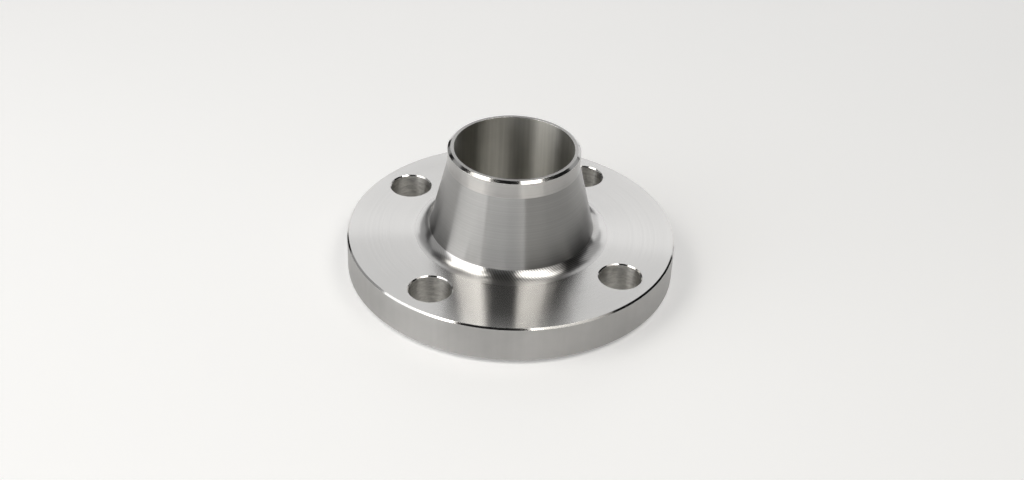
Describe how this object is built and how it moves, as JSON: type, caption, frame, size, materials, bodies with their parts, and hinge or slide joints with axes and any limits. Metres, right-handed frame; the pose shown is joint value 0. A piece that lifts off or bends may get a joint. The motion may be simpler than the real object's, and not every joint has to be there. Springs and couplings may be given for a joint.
{
  "type": "weld neck flange",
  "caption": "Weld neck pipe flange: a drilled round rim with a raised gasket face, and a tapered hub bored through and bevelled at its weld end.",
  "frame": {"origin": "centre of the raised gasket face, on the plane that seals against the gasket", "axes": "+Z along the bore from the gasket face towards the weld end; the bolt holes straddle the X and Y axes at 45, 135, 225 and 315 degrees"},
  "size_m": [0.1524, 0.1524, 0.0635],
  "materials": {
    "forged_stainless": "forged stainless steel, turned all over, fine lathe marks, drilled and deburred holes"
  },
  "bodies": {
    "root": {"weld_neck_flange": "forged_stainless"}
  },
  "joints": []
}
